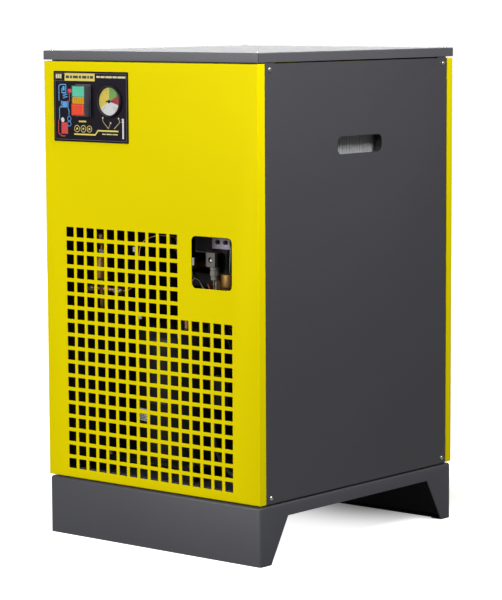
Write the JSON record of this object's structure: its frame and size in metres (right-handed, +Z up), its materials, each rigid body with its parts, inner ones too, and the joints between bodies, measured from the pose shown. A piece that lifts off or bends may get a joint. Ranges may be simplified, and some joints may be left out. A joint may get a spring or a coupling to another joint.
{
  "type": "refrigerated air dryer",
  "caption": "Free-standing refrigerated compressed-air dryer in a sheet-metal cabinet with grille, service window, start and stop buttons, dew-point gauge and condensate drain.",
  "frame": {"origin": "on the floor, under the middle of the machine", "axes": "+X to the machine's right side, which is the right of someone who faces its controls; +Y to the rear, where the air sockets are; +Z up. The front with the controls faces -Y."},
  "size_m": [0.5596, 0.666, 0.9771],
  "materials": {
    "yellow_paint": "satin",
    "dark_paint": "satin",
    "galvanised": "satin",
    "zinc": "polished",
    "brass": "satin",
    "copper": "satin",
    "aluminium": "satin",
    "black_paint": "satin",
    "black_foam": "matte",
    "black_plastic": "satin",
    "grey_plastic": "satin",
    "black_rubber": "matte",
    "label_print": "satin",
    "green_plastic": "satin",
    "red_plastic": "satin",
    "amber_lens": "gloss",
    "white_card": "matte",
    "clear_lens": "gloss"
  },
  "bodies": {
    "cabinet": {"base_frame": "dark_paint", "front_panel": "yellow_paint", "rear_panel": "yellow_paint", "right_side_panel": "dark_paint", "left_side_panel": "dark_paint", "top_cover": "dark_paint", "right_foam_liner": "black_foam", "left_foam_liner": "black_foam", "front_frame": "dark_paint", "rear_frame": "dark_paint", "right_side_screw_1": "zinc", "right_side_screw_2": "zinc", "right_side_screw_3": "zinc", "right_side_screw_4": "zinc", "left_side_screw_1": "zinc", "left_side_screw_2": "zinc", "left_side_screw_3": "zinc", "left_side_screw_4": "zinc", "top_screw_1": "zinc", "top_screw_2": "zinc", "top_screw_3": "zinc", "top_screw_4": "zinc", "control_label": "label_print", "switch_body": "black_plastic", "pilot_lamp": "amber_lens", "gauge_case": "black_plastic", "gauge_dial": "white_card", "gauge_lens": "clear_lens", "drain_valve_body": "brass", "drain_coil": "black_plastic", "din_connector": "grey_plastic", "connector_screw": "zinc", "connector_gland": "grey_plastic", "solenoid_lead": "grey_plastic", "drain_timer": "grey_plastic", "drain_strainer": "brass", "drain_feed_pipe": "copper", "drain_hose": "black_rubber", "condensate_outlet": "brass", "compressor": "black_paint", "condenser_coil": "aluminium", "fan_shroud": "galvanised", "fan_motor": "black_paint", "hot_gas_valve": "brass", "filter_drier": "copper", "suction_pipe": "copper", "discharge_pipe": "copper", "heat_exchanger_core": "aluminium", "exchanger_jacket": "black_foam", "exchanger_stand": "galvanised", "air_inlet_pipe": "galvanised", "air_outlet_pipe": "galvanised", "power_cable_gland": "black_plastic"},
    "start_button": {"start_button": "green_plastic"},
    "stop_button": {"stop_button": "red_plastic"},
    "gauge_needle": {"gauge_needle": "black_plastic"},
    "fan": {"fan_blade": "aluminium"},
    "shutoff_lever": {"shutoff_lever": "red_plastic"},
    "timer_on_knob": {"timer_on_knob": "black_plastic"},
    "timer_off_knob": {"timer_off_knob": "black_plastic"}
  },
  "joints": [
    {"name": "start_button_press", "type": "slide", "parent": "cabinet", "child": "start_button", "axis": [0, 1, 0], "range_m": [0, 0.003], "stiffness_N_per_m": 300},
    {"name": "stop_button_press", "type": "slide", "parent": "cabinet", "child": "stop_button", "axis": [0, 1, 0], "range_m": [0, 0.003], "stiffness_N_per_m": 300},
    {"name": "gauge_needle_turn", "type": "hinge", "parent": "cabinet", "child": "gauge_needle", "pos_m": [-0.096, -0.3174, 0.8775], "axis": [0, 1, 0], "range_deg": [-225, 45]},
    {"name": "fan_spin", "type": "hinge", "parent": "cabinet", "child": "fan", "pos_m": [-0.03, 0.2525, 0.33], "axis": [0, 1, 0], "continuous": true},
    {"name": "shutoff_lever_turn", "type": "hinge", "parent": "cabinet", "child": "shutoff_lever", "pos_m": [0.181, -0.243, 0.5252], "axis": [0, 0, -1], "range_deg": [0, 90]},
    {"name": "timer_on_knob_turn", "type": "hinge", "parent": "cabinet", "child": "timer_on_knob", "pos_m": [0.1345, -0.2623, 0.611], "axis": [0, 1, 0], "range_deg": [-135, 135]},
    {"name": "timer_off_knob_turn", "type": "hinge", "parent": "cabinet", "child": "timer_off_knob", "pos_m": [0.1538, -0.2623, 0.611], "axis": [0, 1, 0], "range_deg": [-135, 135]}
  ]
}
